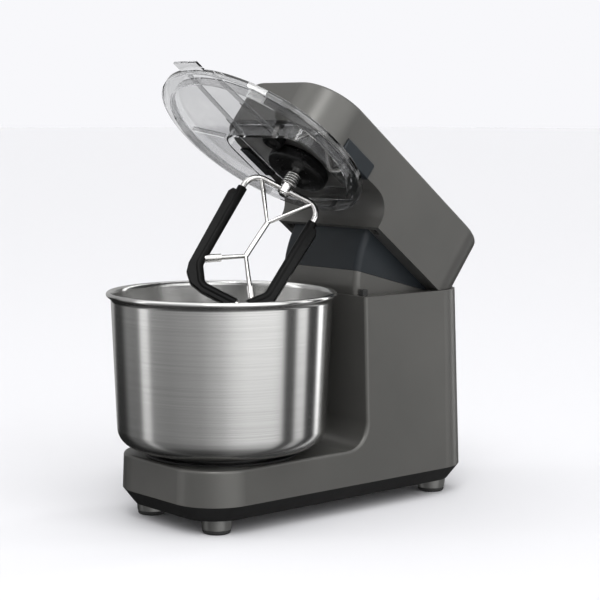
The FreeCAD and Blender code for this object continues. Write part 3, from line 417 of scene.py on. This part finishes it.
# the beater's frame, as points across and up: its foot bar's height, and the corners that the scraper
# sleeves share with the side rods
FOOT_BAR = 84.5
LEFT_BEND, LEFT_TOE = (-40.5, 104), (-27, FOOT_BAR)
RIGHT_BEND = (41.5, 108)
LEFT_TURN, RIGHT_TURN = 12, 14


def make_beater():
    """The chromed frame: a closed loop, the inner rods, their caps at the feet and the nut on top."""
    top = 224
    corners = ((-42.2, top), LEFT_BEND, LEFT_TOE, (23, FOOT_BAR), RIGHT_BEND, (43.6, top))
    turns = (16, LEFT_TURN, LEFT_TURN, 12, RIGHT_TURN, 16)
    loop = rounded([in_tool(*point) for point in corners], [turn / 1000 for turn in turns], closed=True)
    upper, lower = in_tool(1, 180.5), in_tool(-1, 136.5)
    left_foot, right_foot = in_tool(-40.6, 111), in_tool(29, 94)
    outer, inner = 3.3, 2.9
    rods = [(loop, outer, True), ([in_tool(-29, top), upper, in_tool(33, top)], inner, False),
            ([upper, lower], inner, False), ([left_foot, lower, right_foot], inner, False)]
    for end, length, radius in ((left_foot, 0.017, 4.3), (right_foot, 0.013, 4.0)):
        way = (lower - end).normalized()
        start = end + way * 0.004
        rods.append(([start, start + way * 0.0006, start + way * (length - 0.0006), start + way * length],
                     radius, False))
    finish_piece(tubes("beater_rods", rods), "tool", "beater_chrome", "beater_frame")

    nut_rad, nut_low, nut_high = 7.6, 218.5, 230.5
    corners = [(nut_rad * math.cos(math.radians(60 * side)), nut_rad * math.sin(math.radians(60 * side)))
               for side in range(6)]
    nut = prism("beater_nut", corners, nut_low, nut_high, lambda x, y, height: in_tool(x, height, y))
    softened(nut, 0.0009)
    finish_piece(nut, "tool", "beater_chrome", "beater_frame")


def make_scrapers():
    """Soft edges: a round sleeve on each side rod, and a flat fin outside it."""
    sleeve, fin_half, ends_at, foot_end = 5.3, 4.5, 204, 15
    left = rounded([in_tool(*point) for point in
                    ((-41.8, ends_at), LEFT_BEND, LEFT_TOE, (foot_end, FOOT_BAR))],
                   [0, LEFT_TURN / 1000, LEFT_TURN / 1000, 0])
    right = rounded([in_tool(*point) for point in ((43.2, ends_at), RIGHT_BEND, (27, 89.2))],
                    [0, RIGHT_TURN / 1000, 0])
    left_fin = [(-50.1, 198), (-52.8, 192.6), (-49.8, 100), (-46.8, 90), (-37.3, 80.7), (-22, 77.4),
                (foot_end, 77.4), (foot_end, FOOT_BAR), LEFT_TOE, (-31, 87.5), (-38, 98), LEFT_BEND,
                (-41.8, 198)]
    right_fin = [(53.3, 192.6), (49.8, 103), (31, 81.7), (22.5, 87), (27, 89.2), RIGHT_BEND,
                 (43.1, 198), (51, 198)]
    for name, path in (("left", left), ("right", right)):
        finish_piece(tubes(f"scraper_{name}_sleeve", [(path, sleeve, False)]), "tool",
                     "scraper_silicone", f"scraper_{name}")
    for name, fin in (("left", left_fin), ("right", right_fin)):
        piece = prism(f"scraper_{name}_fin", fin, -fin_half, fin_half, in_tool)
        softened(piece, 0.0013)
        finish_piece(piece, "tool", "scraper_silicone", f"scraper_{name}")


def make_spring():
    """The spring round the tool shaft, with a closed ring under it."""
    turns, low, high, radius = 4.5, 232.2, 245.5, 6.7
    count = int(turns * 28)
    coil = []
    for step in range(count + 1):
        angle = 2 * math.pi * turns * step / count
        height = low + (high - low) * step / count
        coil.append(in_tool(radius * math.cos(angle), height, radius * math.sin(angle)))
    ring_height, ring_steps = 231, 40
    ring = []
    for step in range(ring_steps):
        angle = math.radians(360 / ring_steps * step)
        ring.append(in_tool(radius * math.cos(angle), ring_height, radius * math.sin(angle)))
    finish_piece(tubes("spring_coil", [(coil, 1.1, False), (ring, 1.15, True)]), "tool", "shaft_steel",
                 "shaft_spring")


def make_dial():
    """Fluted knob with a shallow dished face, on the dial's own joint."""
    joint = JOINTS["dial_turn"]
    out = Vector(joint["axis"]).normalized()
    up = (Vector((0, 0, 1)) - out * out.z).normalized()
    side = up.cross(out)
    low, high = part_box("speed_dial")
    rad = (high.y - low.y) / 2 * 1000
    centre = Vector(joint["pos_m"])
    stem_rad, edge = 3, 2.4
    profile = [(0, -12), (stem_rad, -12), (stem_rad, 1), (rad - 0.8, 1), (rad, 1.8)]
    profile += [(rad, 5), (rad, 9), (rad, 12.6)]
    profile += arc((rad - edge, 13.6), edge, 0, 90, 6)
    profile += [(rad - 5, 15.9), (rad - 6.2, 15.5), (rad - 7, 15), (rad * 0.5, 14.6), (0, 14.5)]
    groove_depths = {5: 0.7, 6: 0.7, 7: 0.6}  # by index in the profile
    grooves = 36

    def flute(index, angle):
        return groove_depths.get(index, 0.0) * (0.5 + 0.5 * math.cos(grooves * angle)) ** 2

    piece = lathe("dial_knob", profile, centre, side, up, out, 288, flute)
    finish_piece(piece, "dial", "dial_metal", "speed_dial")

    mark_count, sweep = 11, 270
    inner, outer, half = rad + 2.4, rad + 5.0, 0.35
    marks, faces = [], []
    for mark in range(mark_count):
        turn = math.radians(225 - sweep / (mark_count - 1) * mark)
        way = side * math.cos(turn) + up * math.sin(turn)
        cross = out.cross(way)
        for height in (2.2, 2.6):
            for reach, sideways in ((inner, -half), (inner, half), (outer, half), (outer, -half)):
                marks.append(centre + (way * reach + cross * sideways + out * height) / 1000)
        first = mark * 8
        faces += [tuple(first + 4 + step for step in range(4))]
        faces += [(first + step, first + (step + 1) % 4, first + 4 + (step + 1) % 4, first + 4 + step)
                  for step in range(4)]
    ticks = solid("dial_ticks", marks, faces, False)
    bpy.context.scene.collection.objects.link(ticks)
    ticks.data.materials.append(LOOKS["screw_steel"])
    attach(ticks, "base")


make_bowl()
make_beater()
make_scrapers()
make_spring()
make_dial()


# ---------------------------------------------------------------- studio

# brightness of the surroundings by compass angle, in degrees from +X towards +Y: two broad soft
# boxes beside the camera, narrow strips further round and dark walls between them
BANDS = [
    (-180, 0.06), (-166, 0.08), (-155, 0.46), (-134, 0.40), (-131, 2.0), (-122, 2.0), (-118, 0.66),
    (-95, 0.60), (-60, 0.80), (-38, 1.30), (-26, 1.85), (-12, 2.15), (18, 2.15), (28, 1.85), (32, 0.15),
    (44, 0.12), (48, 1.9), (60, 2.0), (63, 0.10), (81, 0.05), (84, 3.8), (90, 3.8), (92, 0.12),
    (135, 0.10), (180, 0.06),
]
PAPER = (0.938, 0.938, 0.965, 1.0)
SURROUND = 1.0
SUN, SUN_WIDTH = 1.2, 80
FILL, FILL_WIDTH = 0.55, 90
SOFTBOX = 22.0


def grey_ramp(tree, stops):
    """A colour ramp through grey levels; each stop is (place, level)."""
    made = tree.nodes.new("ShaderNodeValToRGB")
    elements = made.color_ramp.elements
    while len(elements) < len(stops):
        elements.new(0.5)
    for element, (at, level) in zip(elements, stops):
        element.position = at
    for element, (at, level) in zip(elements, stops):
        element.color = (level, level, level, 1.0)
    return made


def surroundings():
    """The studio: soft boxes and dark walls in reflections, plain pale paper behind the object."""
    world = bpy.data.worlds.new("studio")
    world.use_nodes = True
    tree = world.node_tree
    direction = node(tree, "ShaderNodeTexCoord").outputs["Generated"]
    parts = node(tree, "ShaderNodeSeparateXYZ")
    link(tree, direction, parts.inputs[0])
    angle = node(tree, "ShaderNodeMath", operation="ARCTAN2")
    link(tree, parts.outputs["Y"], angle.inputs[0])
    link(tree, parts.outputs["X"], angle.inputs[1])
    turn = node(tree, "ShaderNodeMapRange")
    turn.inputs["From Min"].default_value = -math.pi
    turn.inputs["From Max"].default_value = math.pi
    link(tree, angle.outputs[0], turn.inputs["Value"])
    around = grey_ramp(tree, [((at + 180) / 360, level) for at, level in BANDS])
    link(tree, turn.outputs["Result"], around.inputs["Fac"])
    rise = node(tree, "ShaderNodeMapRange")
    rise.inputs["From Min"].default_value = -1.0
    link(tree, parts.outputs["Z"], rise.inputs["Value"])
    upward = grey_ramp(tree, [(0.0, 0.05), (0.12, 0.09), (0.20, 0.25), (0.29, 0.25), (0.375, 0.19),
                              (0.455, 0.90), (0.75, 1.0), (0.86, 0.9), (1.0, 1.0)])
    link(tree, rise.outputs["Result"], upward.inputs["Fac"])
    both = node(tree, "ShaderNodeMix", data_type="RGBA", blend_type="MULTIPLY")
    both.inputs["Factor"].default_value = 1.0
    link(tree, around.outputs["Color"], both.inputs["A"])
    link(tree, upward.outputs["Color"], both.inputs["B"])
    lit = node(tree, "ShaderNodeBackground", Strength=SURROUND)
    link(tree, both.outputs["Result"], lit.inputs["Color"])
    plain = tree.nodes["Background"]
    plain.inputs["Color"].default_value = PAPER
    path = node(tree, "ShaderNodeLightPath")
    seen = node(tree, "ShaderNodeMath", operation="MAXIMUM")
    link(tree, path.outputs["Is Camera Ray"], seen.inputs[0])
    link(tree, path.outputs["Is Transmission Ray"], seen.inputs[1])
    choice = node(tree, "ShaderNodeMixShader")
    link(tree, seen.outputs[0], choice.inputs["Fac"])
    link(tree, lit.outputs[0], choice.inputs[1])
    link(tree, plain.outputs[0], choice.inputs[2])
    link(tree, choice.outputs[0], tree.nodes["World Output"].inputs["Surface"])
    bpy.context.scene.world = world


def hold(name, data):
    """An object with this data, in the scene."""
    holder = bpy.data.objects.new(name, data)
    bpy.context.scene.collection.objects.link(holder)
    return holder


def shine(holder, way):
    holder.rotation_euler = Vector(way).to_track_quat("-Z", "Y").to_euler()


def broad_sun(name, energy, width, way):
    """Soft light from one side: the width is the angle that it fills, in degrees."""
    lamp = bpy.data.lights.new(name, "SUN")
    lamp.energy = energy
    lamp.angle = math.radians(width)
    shine(hold(name, lamp), way)


def studio():
    """The floor, the surroundings and the lamps."""
    mesh = bpy.data.meshes.new("floor")
    reach = 60.0
    mesh.from_pydata([(-reach, -reach, 0), (reach, -reach, 0), (reach, reach, 0), (-reach, reach, 0)],
                     [], [(0, 1, 2, 3)])
    floor = hold("floor", mesh)
    floor.visible_glossy = False
    material, tree, shader = new_material("floor_paper")
    shader.inputs["Base Color"].default_value = (0.692, 0.692, 0.712, 1.0)
    shader.inputs["Roughness"].default_value = 1.0
    shader.inputs["Specular IOR Level"].default_value = 0.0
    mesh.materials.append(material)

    surroundings()
    broad_sun("window", SUN, SUN_WIDTH, (0.12, 0.14, -1.0))
    broad_sun("fill", FILL, FILL_WIDTH, (0.75, -0.40, -0.55))
    softbox = bpy.data.lights.new("softbox", "AREA")
    softbox.shape = "RECTANGLE"
    softbox.size, softbox.size_y = 0.9, 1.1
    softbox.energy = SOFTBOX
    above_camera = Vector((0.438, -0.470, 0.766)).normalized()
    holder = hold("softbox", softbox)
    holder.location = above_camera * 3 + Vector((0, 0, 0.35))
    shine(holder, -above_camera)
    bpy.context.scene.view_settings.view_transform = "Standard"


def camera():
    """The camera at the photograph's viewing angle."""
    data = bpy.data.cameras.new("camera")
    data.sensor_width = 36.0
    data.lens = 100.8
    data.clip_end = 100.0
    right, before_bowl, up = 1.37604, -1.08686, 0.41792
    place = Vector((right, before_bowl + bowl_axis[1], up + LIFT))
    forward = Vector((-0.75054, 0.65202, -0.10752))
    roll = Matrix.Rotation(math.radians(0.2), 3, "Z")
    turn = forward.to_track_quat("-Z", "Y").to_matrix() @ roll
    holder = hold("camera", data)
    holder.matrix_world = Matrix.Translation(place) @ turn.to_4x4()
    bpy.context.scene.camera = holder


studio()
camera()
